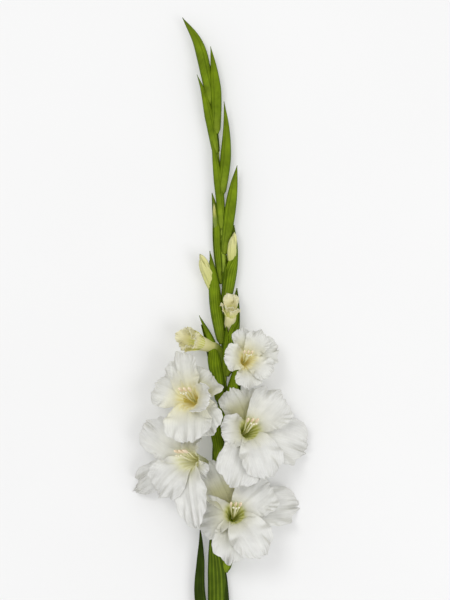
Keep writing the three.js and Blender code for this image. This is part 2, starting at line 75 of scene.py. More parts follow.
# Closed buds and open bract pairs from the top down: side (-1 is left), half width, half depth,
# place of the widest part, taper, and the line
BRACTS = {
    "bud_01": (-1, 6.2, 4.96, 0.52, 1.7,
        [[-9.4, 634, 9], [-14, 664, 11], [-23, 698, 11], [-38.5, 722.5, 12]]),
    "bud_02": (1, 6, 4.8, 0.5, 1.3,
        [[-5, 606, 10], [-5.4, 642, 12], [-7.6, 672, 13], [-10.5, 693.5, 14]]),
    "bud_03": (-1, 5, 4, 0.46, 1.3,
        [[-4.6, 586, 10], [-10.6, 620, 11], [-18, 650, 12], [-24, 665.5, 13]]),
    "bud_04": (1, 5.8, 4.64, 0.42, 1.3,
        [[0, 544, 10], [4, 580, 12], [5, 612, 13], [3, 638.5, 14]]),
    "bud_05": (-1, 4.8, 3.84, 0.48, 1.4,
        [[1.4, 511, 10], [-1, 546, 11], [-6, 584, 12], [-10, 606, 13]]),
    "bud_06": (1, 6, 4.8, 0.5, 1.9,
        [[3.6, 486, 10], [7.4, 520, 12], [12, 552, 13], [16, 574.5, 14]]),
    "spathe_07": (-1, 5.8, 4.6, 0.42, 1.8,
        [[1, 456, 5.6], [-1.8, 488, 4.6], [-4, 520, 7], [-9, 547, 10]]),
    "spathe_08": (1, 6.6, 6, 0.42, 1.8,
        [[4, 434, 9], [8.6, 462, 11], [12, 490, 11.5], [13, 515, 11]]),
    "spathe_09": (-1, 6.2, 6, 0.42, 1.8,
        [[1, 396, 9], [-4.4, 428, 11], [-7, 456, 11.5], [-11.3, 489, 11]]),
    "spathe_10": (1, 7.6, 7.4, 0.42, 1.8,
        [[5, 364, 9], [9.4, 396, 12.5], [13.6, 427, 13], [16, 452, 11]]),
    "spathe_11": (-1, 6.8, 7.6, 0.42, 1.8,
        [[0, 336, 9], [-4.6, 368, 12], [-10.6, 396, 15], [-22, 424.5, 13]]),
    "spathe_12": (1, 7.8, 7.2, 0.42, 1.8,
        [[3, 304, 9], [9.4, 335, 12], [15, 361, 14], [17, 386, 13]]),
    "spathe_13": (-1, 6, 5.4, 0.42, 1.8,
        [[0, 272, 9], [-3.6, 302, 10], [-11, 330, 11], [-20, 352, 11]]),
    "spathe_14": (1, 6.6, 5.8, 0.42, 1.8,
        [[2, 236, 9], [9, 262, 10], [13, 290, 11], [16, 318, 12]]),
    "spathe_15": (-1, 6.2, 5.6, 0.42, 1.8,
        [[-3, 202, 9], [-11, 228, 9], [-15, 255, 9], [-18, 280, 10]]),
    "spathe_16": (1, 6.2, 5.6, 0.42, 1.8,
        [[4, 168, 9], [8.5, 190, 10], [12, 218, 10], [15, 248, 11]]),
}

# Buds that show colour: half width, place of the widest part, taper, and the line
COLOURED_BUDS = {
    "petals_07": (2.2, 0.7, 2.4,
        [[0, 474, 6], [-2.8, 498, 6], [-5.6, 518, 9], [-7.2, 535, 11.4]]),
    "petals_08": (4.3, 0.72, 4,
        [[6, 446, 9], [9.4, 468, 10], [10.8, 488, 15], [12.6, 504, 17]]),
    "petals_09": (5.4, 0.78, 4,
        [[-1, 408, 8], [-5, 438, 9], [-12, 462, 11], [-19.6, 481, 16]]),
}

# Flowers from the top down: size, middle of the throat's rim, lean of its axis to the right and up
# the stem, and the petals. A petal has its tip, half width, layer and what is special about it.
FLOWERS = {
    "petals_10": (0.62, [10, 431, 23], [0.02, 0.82], [
        ([18, 441, 27], 5.6, "inner", {}),
        ([5.5, 447, 22], 5.6, "inner", {}),
        ([8, 431, 35], 5.6, "inner", {}),
        ([13, 446, 20], 6, "outer", {}),
        ([1, 436, 28], 6, "outer", {}),
        ([15, 431, 35], 6, "outer", {}),
    ]),
    "petals_11": (0.86, [-29, 399.5, 26], [-0.85, 0.28], [
        ([-46, 406, 22], 8, "inner", {}),
        ([-30, 411, 36], 8.5, "inner", {}),
        ([-37, 390, 34], 8.5, "inner", {}),
        ([-38, 410, 26], 9, "outer", {}),
        ([-27, 400, 44], 9.5, "outer", {}),
        ([-42, 395, 26], 9, "outer", {}),
    ]),
    "bloom_12": (0.8, [26, 381, 40], [0.15, 0.2], [
        ([58, 393, 26], 16, "outer", {"arch": 5}),
        ([42, 407, 34], 14, "inner", {"arch": 5}),
        ([22, 413, 32], 13, "outer", {"arch": 4}),
        ([3, 383, 46], 15, "inner", {"arch": 4, "fan": 1.2}),
        ([29, 352, 58], 15, "outer", {"arch": 3}),
        ([50, 366, 44], 15, "inner", {"arch": 5}),
    ]),
    "bloom_13": (1, [-33, 342, 46], [-0.3, 0.2], [
        ([-9, 368, 32], 26, "outer", {"arch": 5, "fan": 1.5, "frill": 0.4, "point": 0.8}),
        ([-39, 387, 30], 16, "inner", {"arch": 5, "fan": 1.1}),
        ([-66, 358, 26], 22, "outer", {"arch": 6, "fan": 1.3}),
        ([-31, 297, 60], 26, "inner", {"arch": 4, "fan": 1.3}),
        ([-7, 305, 57], 20, "outer", {"arch": 4, "fan": 1.6}),
        ([-11, 340, 66], 19, "inner", {"arch": 8, "cup": 0.06, "fan": 1.3, "belly": 8}),
    ]),
    "bloom_14": (1, [29, 311, 42], [0.25, 0.25], [
        ([87, 291, 12], 26, "outer", {"arch": 8}),
        ([61, 344, 24], 25, "inner", {"arch": 6, "fan": 1.1}),
        ([10, 353, 28], 20, "outer", {"arch": 5, "fan": 1.1}),
        ([0, 307, 50], 19, "inner", {"arch": 3, "twist": -0.4, "fan": 1.3}),
        ([11, 252, 58], 24, "outer", {"arch": 4, "fan": 1.1}),
        ([46, 262, 50], 24, "inner", {"arch": 5, "fan": 1.1}),
    ]),
    "bloom_15": (1, [-35, 281, 40], [-0.5, 0.12], [
        ([-78, 317, 18], 20, "outer", {"arch": 5, "fan": 1.3}),
        ([-62, 247, 30], 23, "inner", {"arch": 7, "point": 0.4, "fan": 1.2}),
        ([-89, 249, 0], 14, "outer", {"arch": 12, "point": 1}),
        ([-23, 211, 54], 17, "inner", {"arch": 4, "fan": 1.1}),
        ([-15, 262, 44], 13, "outer", {"arch": 2}),
        ([-25, 306, 34], 14, "inner", {"arch": 3}),
    ]),
    "bloom_16": (1, [14, 227, 40], [0.08, 0.28], [
        ([79, 236, 0], 21, "outer", {"arch": 10}),
        ([48, 256, 24], 27, "inner", {"arch": 5, "fan": 1.2}),
        ([-11, 280, 22], 22, "outer", {"arch": 4, "fan": 1.2}),
        ([-21, 219, 24], 24, "inner", {"arch": 4, "fan": 1.35}),
        ([7, 174, 46], 19, "outer", {"arch": 4, "point": 0.9, "fan": 1.25}),
        ([42, 183, 52], 22, "inner", {"arch": 4, "point": 0.6, "fan": 1.2}),
    ]),
}
CLOSED = ("petals_10", "petals_11")

# A flower's throat: its radius at the rim and on the floor, and heights from the rim, of a flower
# with a size of 1
THROAT_RIM = 11.5
THROAT_FLOOR = 4
THROAT_DEPTH = 30
PETAL_ROOT = -15
CUP_LIP = -11

# The tube below it: its radius, where it starts along its bracts, how far it lies outside the throat
# and its wall. For a flower that is opening also how much fuller it is, how far it is set over and
# how late its green gives way to cream, as a power.
TUBE_RADIUS = 3.4
TUBE_START = 0.14
TUBE_SKIN = 0.5
TUBE_WALL = 0.8
PLUMP = {"petals_10": 3.6, "petals_11": 1.8}
SET_OVER = {"petals_10": Vector((4, 0, 0))}
GREEN_FOOT = {"petals_10": 1.4, "petals_11": 4.4}

# A petal: its thickness, the share of it that lines the throat, and the middle of its blade, from
# which its margin is measured
PETAL_THICKNESS = 0.5
PETAL_FOOT = 0.2
HEART = 0.45
HEART_STRETCH = 1.8
# Columns and rows of the sheet that an open or a closed flower's petal is made from
OPEN_GRID = (56, 80)
CLOSED_GRID = (28, 44)
# Heights of the waves along its margin, from the largest to the smallest, of the pleats in its blade
# and of the groove along its rib
RUFFLE = 2.6
FRILL = 2.5
CRIMP = 0.75
PLEAT = 0.25
GROOVE = 0.8
# Notches in its margin: depth, how many go round, and how their start differs between petals
NOTCHES = ((0.018, 7, 2), (0.011, 17, 1), (0.005, 37, 2))

# How far out from its axis a flower's throat colours fade
THROAT_START = 8
THROAT_FADE = {"bloom_14": 18, "bloom_15": 20, "bloom_16": 15}
WIDE_FADE = 24

# Blooms whose lower petals keep a crisp throat edge, between these distances from the axis
CRISP = ("bloom_14", "bloom_16")
CRISP_EDGE = (8.8, 10.6)

# What a corner is part of, where its material needs to know
INNER_BRACT = 1
ANTHER = 1
STYLE = 2
TUBE = 3
# What a corner on the inside of a tube knows as its place along it
INSIDE_TUBE = -0.01

# Bracts: how wide they are at their root, how high they stay above the table, and the width of what
# a closed pair wraps
BRACT_ROOT = 0.72
BRACT_TABLE_GAP = 0.3
CORE = 0.86

# How far other pieces keep from the stem and from the table
STEM_GAP = 0.3
TABLE_GAP = 0.05

# Petals with painted olive shade, where they lie in shade with green close behind, and how much
OLIVE_SHADED_PETALS = {
    ("bloom_12", 2): 0.5, ("bloom_12", 3): 0.3, ("bloom_12", 1): 0.15, ("bloom_13", 0): 0.9,
    ("bloom_13", 1): 0.1, ("bloom_14", 2): 1.0, ("bloom_14", 3): 0.4,
    ("bloom_14", 1): 0.15, ("bloom_15", 0): 0.15, ("bloom_15", 4): 0.5, ("bloom_15", 5): 0.6,
    ("bloom_16", 2): 1.0, ("bloom_16", 3): 0.4, ("bloom_16", 4): 0.3,
}

# The way that an open bract pair opens, as an angle from the front towards the right, and how wide
# and from where it does, where that isn't the usual
OPENS = {
    "spathe_07": -0.9, "spathe_08": -0.9, "spathe_09": -1.5, "spathe_10": -0.5, "spathe_11": -1.3,
    "spathe_12": 1.4, "spathe_13": -1.3, "spathe_14": 1.2, "spathe_15": -1.3, "spathe_16": 0.8,
}
USUAL_GAP = (1.3, 0.4)
GAPS = {"spathe_07": (0.35, 0.4), "spathe_09": (1.0, 0.5)}


def lerp(a, b, t):
    return a + (b - a) * t


def smooth(x, low, high):
    t = min(max((x - low) / (high - low), 0), 1)
    return t * t * (3 - 2 * t)


def seen(place):
    """The place at height z that is seen at x and y from the eye."""
    x, y, z = place
    nearer = 1 - z / EYE.z
    return Vector((EYE.x + (x - EYE.x) * nearer, EYE.y + (y - EYE.y) * nearer, z))


def bezier(a, b, c, d, t):
    q = 1 - t
    return a * q ** 3 + b * 3 * q * q * t + c * 3 * q * t * t + d * t ** 3


class Line:
    """A smooth line through points, measured by its length from 0 to 1."""

    def __init__(self, points, steps=200):
        self.points = points
        self.headings = {}
        self.samples = [self.knot(k / steps) for k in range(steps + 1)]
        self.lengths = [0]
        for a, b in zip(self.samples, self.samples[1:]):
            self.lengths.append(self.lengths[-1] + (b - a).length)

    def knot(self, t):
        points = self.points
        last = len(points) - 1
        k = min(int(t * last), last - 1)
        w = t * last - k
        p1, p2 = points[k], points[k + 1]
        p0 = points[k - 1] if k > 0 else p1 * 2 - p2
        p3 = points[k + 2] if k + 2 <= last else p2 * 2 - p1
        d0, d1, d2 = (math.sqrt((b - a).length) for a, b in ((p0, p1), (p1, p2), (p2, p3)))
        start = ((p1 - p0) / d0 - (p2 - p0) / (d0 + d1) + (p2 - p1) / d1) * d1
        end = ((p2 - p1) / d1 - (p3 - p1) / (d1 + d2) + (p3 - p2) / d2) * d1
        bend = p2 * 3 - p1 * 3 - start * 2 - end
        twist = p1 * 2 - p2 * 2 + start + end
        return p1 + start * w + bend * w * w + twist * w ** 3

    def place(self, t):
        """(sample number, share of the way to the next) at length t."""
        goal = min(max(t, 0), 1) * self.lengths[-1]
        low, high = 0, len(self.lengths) - 1
        while high - low > 1:
            middle = (low + high) // 2
            if self.lengths[middle] <= goal:
                low = middle
            else:
                high = middle
        return low, (goal - self.lengths[low]) / (self.lengths[high] - self.lengths[low])

    def at(self, t):
        k, share = self.place(t)
        return self.samples[k].lerp(self.samples[k + 1], share)

    def heading(self, t):
        if t not in self.headings:
            step = 0.004
            self.headings[t] = (self.at(min(t + step, 1)) - self.at(max(t - step, 0))).normalized()
        return self.headings[t]

    def sides(self, t, front):
        """The ways across the line at t that point towards the front and to the right of it."""
        heading = self.heading(t)
        near = (front - heading * heading.dot(front)).normalized()
        return near, heading.cross(near)

    def share(self, t):
        """Where length t lies among the points, from 0 to 1."""
        k, share = self.place(t)
        return (k + share) / (len(self.samples) - 1)


def line_through(points):
    return Line([seen(p[:3]) for p in points])


STEM = line_through(STEM_LINE)


def stem_radius(t):
    return lerp(STEM_ROOT, STEM_TIP, t ** 1.2)


def bud_shape(t, widest, taper, root=0.3):
    """The width of a bud at t as a share of its greatest, which is 1 where it is widest."""
    foot = lerp(0.6, 1, smooth(t, 0, 0.07))
    if t < widest:
        return foot * lerp(root, 1, math.sin(math.pi / 2 * t / widest))
    return max(1 - ((t - widest) / (1 - widest)) ** taper, 0.04)


def ellipse(angle, half, depth):
    """How far out an ellipse is at an angle from its depth's way."""
    return 1 / math.hypot(math.sin(angle) / half, math.cos(angle) / depth)


def off_the_stem(point, gap):
    """The point, moved out of the stem where it lies inside it."""
    below_root, past_tip, stride = 5, 2, 4
    if not STEM.samples[0].y - below_root < point.y < STEM.samples[-1].y + past_tip:
        return point
    best = min(range(0, len(STEM.samples), stride), key=lambda k: abs(STEM.samples[k].y - point.y))
    around = range(max(best - stride, 0), min(best + stride + 1, len(STEM.samples)))
    k = min(around, key=lambda n: abs(STEM.samples[n].y - point.y))
    centre = STEM.samples[k]
    clear = stem_radius(STEM.lengths[k] / STEM.lengths[-1]) + gap
    away = Vector((point.x - centre.x, 0, point.z - centre.z))
    if away.length >= clear:
        return point
    if away.length < 1e-6:
        away = UP
    moved = centre + away.normalized() * clear
    return Vector((moved.x, point.y, moved.z))


def new_mesh():
    """A mesh in the making whose corners know how far they are along and across their piece."""
    bm = bmesh.new()
    for name in ("along", "across", "part", "flank", "olive_shade_amount", "deep"):
        bm.verts.layers.float.new(name)
    return bm


def mark(bm, vert, along, across, part):
    layers = bm.verts.layers.float
    vert[layers["along"]] = along
    vert[layers["across"]] = across
    vert[layers["part"]] = part


def sheet(bm, surface, columns, rows, thickness, part=0):
    """A sheet of the surface(along, across), with across from -1 to 1, and a thickness. Returns its
    corners."""
    old_verts = set(bm.verts)
    old_faces = set(bm.faces)
    bmesh.ops.create_grid(bm, x_segments=columns, y_segments=rows, size=1)
    verts = [v for v in bm.verts if v not in old_verts]
    faces = [f for f in bm.faces if f not in old_faces]
    for vert in verts:
        along = (vert.co.y + 1) / 2
        across = vert.co.x
        mark(bm, vert, along, across, part)
        vert.co = surface(along, across)
    bmesh.ops.recalc_face_normals(bm, faces=faces)
    for face in faces:
        face.normal_update()
    normals = {vert: sum((f.normal for f in vert.link_faces), Vector()).normalized() for vert in verts}
    layers = bm.verts.layers.float
    made = bmesh.ops.extrude_face_region(bm, geom=faces, use_keep_orig=True)
    moved = [g for g in made["geom"] if isinstance(g, bmesh.types.BMVert)]
    key = {(round(v[layers["along"]], 5), round(v[layers["across"]], 5)): v for v in verts}
    for vert in moved:
        source = key[(round(vert[layers["along"]], 5), round(vert[layers["across"]], 5))]
        vert.co = source.co + normals[source] * thickness / 2
    for vert in verts:
        vert.co -= normals[vert] * thickness / 2
    return verts + moved


def even(start, end, rings):
    """Stations (t, inset) of a plain tube."""
    return [(lerp(start, end, k / rings), 0) for k in range(rings + 1)]


def tube(bm, line, radius, sides, stations, part=0, front=UP, clear=None, along=None,
         lift=None):
    """A closed round body along a line, through rings at (t, inset). radius(t, angle) has its angle
    from the front, towards the right. clear keeps it that far from the stem, along(t, inset) is what
    its corners know in place of t, and lift(t, angle) moves a corner on along the line."""
    ring = bmesh.ops.create_circle(bm, segments=sides, radius=1, cap_ends=False)["verts"]
    edges = list({e for v in ring for e in v.link_edges})

    def lay(verts, t, inset):
        centre = line.at(t)
        near, right = line.sides(t, front)
        for k, vert in enumerate(verts):
            angle = 2 * math.pi * k / sides
            if angle > math.pi:
                angle -= 2 * math.pi
            out = radius(t, angle) - inset
            point = centre + right * math.sin(angle) * out + near * math.cos(angle) * out
            if lift is not None:
                point += line.heading(t) * lift(t, angle)
            if clear is not None:
                point = off_the_stem(point, clear)
            point.z = max(point.z, TABLE_GAP)
            vert.co = point
            mark(bm, vert, t if along is None else along(t, inset), angle / math.pi, part)

    lay(ring, *stations[0])
    first = edges
    for station in stations[1:]:
        made = bmesh.ops.extrude_edge_only(bm, edges=edges)["geom"]
        verts = [g for g in made if isinstance(g, bmesh.types.BMVert)]
        edges = [g for g in made if isinstance(g, bmesh.types.BMEdge)]
        index = {v: k for k, v in enumerate(ring)}
        ordered = [None] * sides
        for vert in verts:
            below = next(e.other_vert(vert) for e in vert.link_edges if e.other_vert(vert) in index)
            ordered[index[below]] = vert
        lay(ordered, *station)
        ring = ordered
    for loop in (first, edges):
        bmesh.ops.holes_fill(bm, edges=loop, sides=0)


def placed(name, bm, material):
    """The object of a finished mesh."""
    mesh = bpy.data.meshes.new(name)
    bm.to_mesh(mesh)
    bm.free()
    mesh.materials.append(material)
    item = bpy.data.objects.new(name, mesh)
    bpy.context.scene.collection.objects.link(item)
    return item


def finish(bm, material, node):
    """Makes the piece that stands for a node."""
    bmesh.ops.recalc_face_normals(bm, faces=bm.faces[:])
    bm.normal_update()
    # flank: how far a corner's surface faces away from straight up; the materials paint shade by it
    flank = bm.verts.layers.float["flank"]
    for vert in bm.verts:
        vert[flank] = 1 - abs(vert.normal.z)
    bmesh.ops.scale(bm, vec=(MM, MM, MM), verts=bm.verts[:])
    for face in bm.faces:
        face.smooth = True
    piece = placed("fine_" + node, bm, material)
    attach(piece, "root")
    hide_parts(node)


# Materials


# Sockets of a colour mix
MIX_SHARE, MIX_A, MIX_B, MIX_COLOUR = 0, 6, 7, 2


class Layout:
    """The nodes of a material or of a node group."""

    def __init__(self, tree):
        self.nodes = tree.nodes
        self.links = tree.links

    def add(self, kind, **values):
        node = self.nodes.new(kind)
        for key, value in values.items():
            setattr(node, key, value)
        return node

    def feed(self, socket, value):
        """Gives a socket a number, a colour or what another node puts out."""
        if isinstance(value, (int, float)):
            socket.default_value = value
        elif isinstance(value, tuple):
            socket.default_value = value + (1,)
        else:
            self.links.new(value, socket)

    def reading(self, name):
        """The value that a corner keeps under a name."""
        node = self.add("ShaderNodeAttribute", attribute_type="GEOMETRY", attribute_name=name)
        return node.outputs["Fac"]

    def maths(self, operation, *inputs, clamp=False):
        node = self.add("ShaderNodeMath", operation=operation, use_clamp=clamp)
        for socket, value in zip(node.inputs, inputs):
            self.feed(socket, value)
        return node.outputs[0]

    def rising(self, value, slope, start):
        """start + slope * value, kept between 0 and 1."""
        return self.maths("MULTIPLY_ADD", value, slope, start, clamp=True)

    def mixed(self, share, a, b, blend="MIX"):
        node = self.add("ShaderNodeMix", data_type="RGBA", blend_type=blend)
        for socket, value in ((MIX_SHARE, share), (MIX_A, a), (MIX_B, b)):
            self.feed(node.inputs[socket], value)
        return node.outputs[MIX_COLOUR]

    def ramp(self, value, stops):
        """A colour ramp over stops of (place, colour)."""
        node = self.add("ShaderNodeValToRGB")
        elements = node.color_ramp.elements
        while len(elements) > 1:
            elements.remove(elements[-1])
        elements[0].position = stops[0][0]
        elements[0].color = stops[0][1] + (1,)
        for place, colour in stops[1:]:
            elements.new(place).color = colour + (1,)
        self.links.new(value, node.inputs[0])
        return node.outputs[0]

    def noise(self, scale, detail=2.0):
        node = self.add("ShaderNodeTexNoise")
        node.inputs["Scale"].default_value = scale
        node.inputs["Detail"].default_value = detail
        self.links.new(self.add("ShaderNodeTexCoord").outputs["Object"], node.inputs["Vector"])
        return node.outputs["Fac"]

    def veins(self, across, count, waviness):
        """The group's lines and the noise that they waver with."""
        node = self.add("ShaderNodeGroup", node_tree=VEINS)
        for name, value in (("Across", across), ("Count", count), ("Waviness", waviness)):
            self.feed(node.inputs[name], value)
        return node.outputs["Vein"], node.outputs["Mottle"]

    def blotched(self, colour, mottle, contrast, start):
        """The colour, darker and lighter in patches."""
        blotch = self.maths("MULTIPLY_ADD", mottle, contrast, start)
        return self.mixed(0.5, colour, blotch, "MULTIPLY")

    def bump(self, height, strength, distance):
        node = self.add("ShaderNodeBump")
        node.inputs["Strength"].default_value = strength
        node.inputs["Distance"].default_value = distance
        self.links.new(height, node.inputs["Height"])
        return node.outputs[0]

    def shader(self, kind, sockets):
        node = self.add(kind)
        for name, value in sockets.items():
            self.feed(node.inputs[name], value)
        return node.outputs[0]

    def show(self, shader):
        self.links.new(shader, self.add("ShaderNodeOutputMaterial").inputs["Surface"])


def new_material(name):
    material = bpy.data.materials.new(name)
    material.use_nodes = True
    material.node_tree.nodes.clear()
    return material, Layout(material.node_tree)


def vein_group():
    """Fine lines that run the length of a piece: a value from 0 between veins to 1 on them."""
    tree = bpy.data.node_groups.new("Veins", "ShaderNodeTree")
    for name in ("Across", "Count", "Waviness"):
        tree.interface.new_socket(name=name, in_out="INPUT", socket_type="NodeSocketFloat")
    for name in ("Vein", "Mottle"):
        tree.interface.new_socket(name=name, in_out="OUTPUT", socket_type="NodeSocketFloat")
    layout = Layout(tree)
    entry = layout.add("NodeGroupInput")
    leave = layout.add("NodeGroupOutput")
    noise = layout.noise(90.0, 3.0)
    wander = layout.maths("MULTIPLY", layout.maths("SUBTRACT", noise, 0.5), entry.outputs["Waviness"])
    place = layout.maths("ADD", entry.outputs["Across"], wander)
    wave = layout.maths("SINE", layout.maths("MULTIPLY", place, entry.outputs["Count"]))
    lifted = layout.maths("MULTIPLY_ADD", wave, 0.5, 0.5)
    layout.links.new(layout.maths("POWER", lifted, 3.0), leave.inputs["Vein"])
    layout.links.new(noise, leave.inputs["Mottle"])
    return tree


VEINS = vein_group()


def green_material(name, stops, count, stripe, shade):
    """A green skin with parallel veins in the stripe's colour, and painted shade on its flanks and
    along its margins. stops run from root to tip."""
    material, layout = new_material(name)
    across = layout.reading("across")
    vein, mottle = layout.veins(across, count, 0.02)
    base = layout.ramp(layout.reading("along"), stops)
    striped = layout.mixed(layout.maths("MULTIPLY", vein, 0.5), base, stripe)
    # Painted shade: darker where the skin faces away from straight up, and along the margins
    flank_shade_share = layout.rising(layout.reading("flank"), 1.5, -0.25)
    margin = layout.rising(layout.maths("ABSOLUTE", across), 14.0, -13.2)
    painted_shade_share = layout.maths("MAXIMUM", flank_shade_share, layout.maths("MULTIPLY", margin, 0.7))
    layout.show(layout.shader("ShaderNodeBsdfPrincipled", {
        "Base Color": layout.mixed(painted_shade_share, layout.blotched(striped, mottle, 2.4, -0.2), shade),
        "Roughness": 0.6,
        "Specular IOR Level": 0.06,
        "Normal": layout.bump(vein, 0.35, 0.0004),
    }))
    return material


BLACK = (0.0, 0.0, 0.0)
RIB_CREAM = (0.80, 0.79, 0.52)
VEINS_AND_PLEAT_SHADE = (0.66, 0.66, 0.61)
# Colours of the painted olive shade and of the painted shade on a petal's flanks
PAINTED_OLIVE_SHADE = (0.50, 0.48, 0.20)
PETAL_SHADE = (0.68, 0.67, 0.58)
PLAIN_THROAT = ((0.5, 0.5, 0.05), (0.6, 0.6, 0.1), (0.8, 0.8, 0.4))
PETAL_VEINS = 60.0
THROAT_STRANDS = 17.0


def petal_material(name, stops, shade=PETAL_SHADE, glow=0.3, throat=PLAIN_THROAT):
    """A satin petal, a little translucent, with fine veins that fan out from its root. stops run
    from root to tip, shade is the colour of the painted shade on its flanks, and throat has the
    colours of the throat's floor, of its wall and of the strands on the wall."""
    material, layout = new_material(name)
    maths, rising, mixed = layout.maths, layout.rising, layout.mixed
    along, across, deep = (layout.reading(value) for value in ("along", "across", "deep"))
    vein, mottle = layout.veins(across, PETAL_VEINS, 0.05)
    floor, wall, strands = throat

    # Inside the throat, where deep is 1: darker towards its floor, partly its own green and partly
    # painted shade
    strand = maths("MULTIPLY_ADD", maths("SINE", maths("MULTIPLY", across, THROAT_STRANDS)), 0.5, 0.5)
    inside = mixed(rising(along, 4.5, 0.0), floor, mixed(strand, wall, strands))
    base = mixed(deep, layout.ramp(along, stops), inside)

    # A warm rib up the middle, which fades towards the tip
    centre = maths("ABSOLUTE", across)
    rib = maths("MULTIPLY", maths("MULTIPLY", rising(centre, -3.2, 1.0), rising(along, -1.8, 1.25)), 0.35)
    warmed = mixed(rib, base, RIB_CREAM)

    # Veins, and painted shade of fine pleats, stronger towards the margin
    far = rising(along, 2.2, -1.2)
    edge = maths("SQRT", maths("ADD", maths("POWER", far, 2.0), maths("POWER", centre, 2.0)))
    veins_and_pleat_shade = mixed(maths("MULTIPLY", vein, rising(edge, 0.26, -0.07)), warmed, VEINS_AND_PLEAT_SHADE)

    # Painted shade on the flanks outside the throat, and painted olive shade where green lies close
    # behind
    steep_shade_share = maths("MULTIPLY", rising(layout.reading("flank"), 0.62, -0.03), rising(along, 6.0, -2.0))
    olive = maths("MULTIPLY", layout.reading("olive_shade_amount"), 0.8)
    shaded = mixed(olive, mixed(steep_shade_share, veins_and_pleat_shade, shade), PAINTED_OLIVE_SHADE)

    colour = layout.blotched(shaded, mottle, 0.5, 0.64)
    skin = layout.shader("ShaderNodeBsdfPrincipled", {
        "Base Color": colour,
        "Roughness": 0.55,
        "Specular IOR Level": 0.3,
        "Sheen Weight": 0.15,
        # The throat glows a little in its own colours: painted light that lifts the shade deep inside it
        "Emission Color": mixed(deep, BLACK, inside),
        "Emission Strength": 0.2,
        "Normal": layout.bump(vein, 0.3, 0.0003),
    })
    blend = layout.add("ShaderNodeMixShader")
    through = layout.shader("ShaderNodeBsdfTranslucent", {"Color": colour})
    for socket, value in zip(blend.inputs, (glow, skin, through)):
        layout.feed(socket, value)
    layout.show(blend.outputs[0])
    return material


OLIVE_THROAT = [
    (0.0, (0.13, 0.19, 0.004)), (0.12, (0.32, 0.38, 0.03)), (0.22, (0.66, 0.68, 0.22)),
    (0.30, (0.84, 0.85, 0.58)), (0.42, (0.90, 0.895, 0.79)), (0.6, (0.90, 0.90, 0.87)),
    (1.0, (0.90, 0.90, 0.88)),
]
GOLDEN_THROAT = [
    (0.0, (0.13, 0.19, 0.004)), (0.12, (0.34, 0.38, 0.03)), (0.20, (0.80, 0.74, 0.26)),
    (0.29, (0.92, 0.87, 0.54)), (0.45, (0.91, 0.89, 0.70)), (0.75, (0.90, 0.90, 0.85)),
    (1.0, (0.90, 0.90, 0.87)),
]
WHITE_OLIVE = petal_material(
    "white_petal_olive", OLIVE_THROAT,
    throat=((0.27, 0.30, 0.01), (0.42, 0.44, 0.06), (0.70, 0.70, 0.30)))
WHITE_GOLD = petal_material(
    "white_petal_gold", GOLDEN_THROAT,
    throat=((0.70, 0.59, 0.14), (0.80, 0.73, 0.35), (0.90, 0.87, 0.61)))
WHITE_PALE = petal_material(
    "white_petal_pale", OLIVE_THROAT,
    throat=((0.60, 0.58, 0.26), (0.74, 0.73, 0.46), (0.88, 0.87, 0.68)))
# The second colour of a cream petal, where given, is the painted shade on its flanks
CREAM = petal_material("cream_petal", [
    (0.0, (0.11, 0.17, 0.004)), (0.12, (0.22, 0.29, 0.012)), (0.2, (0.78, 0.77, 0.30)),
    (0.5, (0.97, 0.92, 0.58)), (1.0, (1.0, 0.97, 0.74)),
], (0.78, 0.74, 0.38))
BUD_CREAM = petal_material("cream_bud", [
    (0.0, (0.42, 0.50, 0.05)), (0.55, (0.64, 0.66, 0.18)), (1.0, (0.82, 0.79, 0.36)),
], (0.42, 0.46, 0.12), glow=0.15)
TIP_CREAM = petal_material("cream_tip", [
    (0.0, (0.16, 0.23, 0.006)), (0.78, (0.20, 0.28, 0.01)), (0.9, (0.62, 0.60, 0.12)),
    (1.0, (0.86, 0.80, 0.34)),
], (0.12, 0.18, 0.01), glow=0.1)
# The last colour of each green is the painted shade on its flanks and margins
BRACT = green_material("bract_green", [
    (0.0, (0.19, 0.26, 0.02)), (0.3, (0.105, 0.17, 0.003)), (0.7, (0.125, 0.19, 0.003)),
    (1.0, (0.07, 0.11, 0.004)),
], 46.0, (0.28, 0.36, 0.02), (0.06, 0.105, 0.003))
LEAF = green_material("leaf_green", [
    (0.0, (0.045, 0.08, 0.004)), (0.6, (0.06, 0.10, 0.004)), (1.0, (0.05, 0.085, 0.004)),
], 34.0, (0.20, 0.27, 0.02), (0.018, 0.036, 0.002))
DARK_LEAF = green_material("leaf_dark_green", [
    (0.0, (0.022, 0.042, 0.002)), (1.0, (0.02, 0.036, 0.002)),
], 36.0, (0.05, 0.08, 0.006), (0.010, 0.020, 0.002))
STEM_SKIN = green_material("stem_green", [
    (0.0, (0.24, 0.31, 0.03)), (1.0, (0.24, 0.34, 0.03)),
], 30.0, (0.36, 0.44, 0.07), (0.06, 0.10, 0.005))
FLOWER_MATERIALS = {
    "petals_10": CREAM, "petals_11": CREAM, "bloom_12": WHITE_GOLD, "bloom_13": WHITE_GOLD,
    "bloom_14": WHITE_OLIVE, "bloom_15": WHITE_PALE, "bloom_16": WHITE_OLIVE,
}


def stamen_material():
    """Pale threads below and pollen-dusted anthers, whose part is 1."""
    material, layout = new_material("stamen")
    thread = layout.ramp(layout.reading("along"), [
        (0.0, (0.62, 0.62, 0.26)), (0.4, (0.80, 0.78, 0.50)), (1.0, (0.82, 0.78, 0.58)),
    ])
    pollen = layout.ramp(layout.noise(1800.0), [(0.35, (0.80, 0.62, 0.44)), (0.65, (0.92, 0.82, 0.62))])
    anther = layout.maths("COMPARE", layout.reading("part"), ANTHER, 0.5)
    layout.show(layout.shader("ShaderNodeBsdfPrincipled", {
        "Base Color": layout.mixed(anther, thread, pollen),
        "Roughness": 0.7,
    }))
    return material


STAMEN = stamen_material()


# Stem and leaves


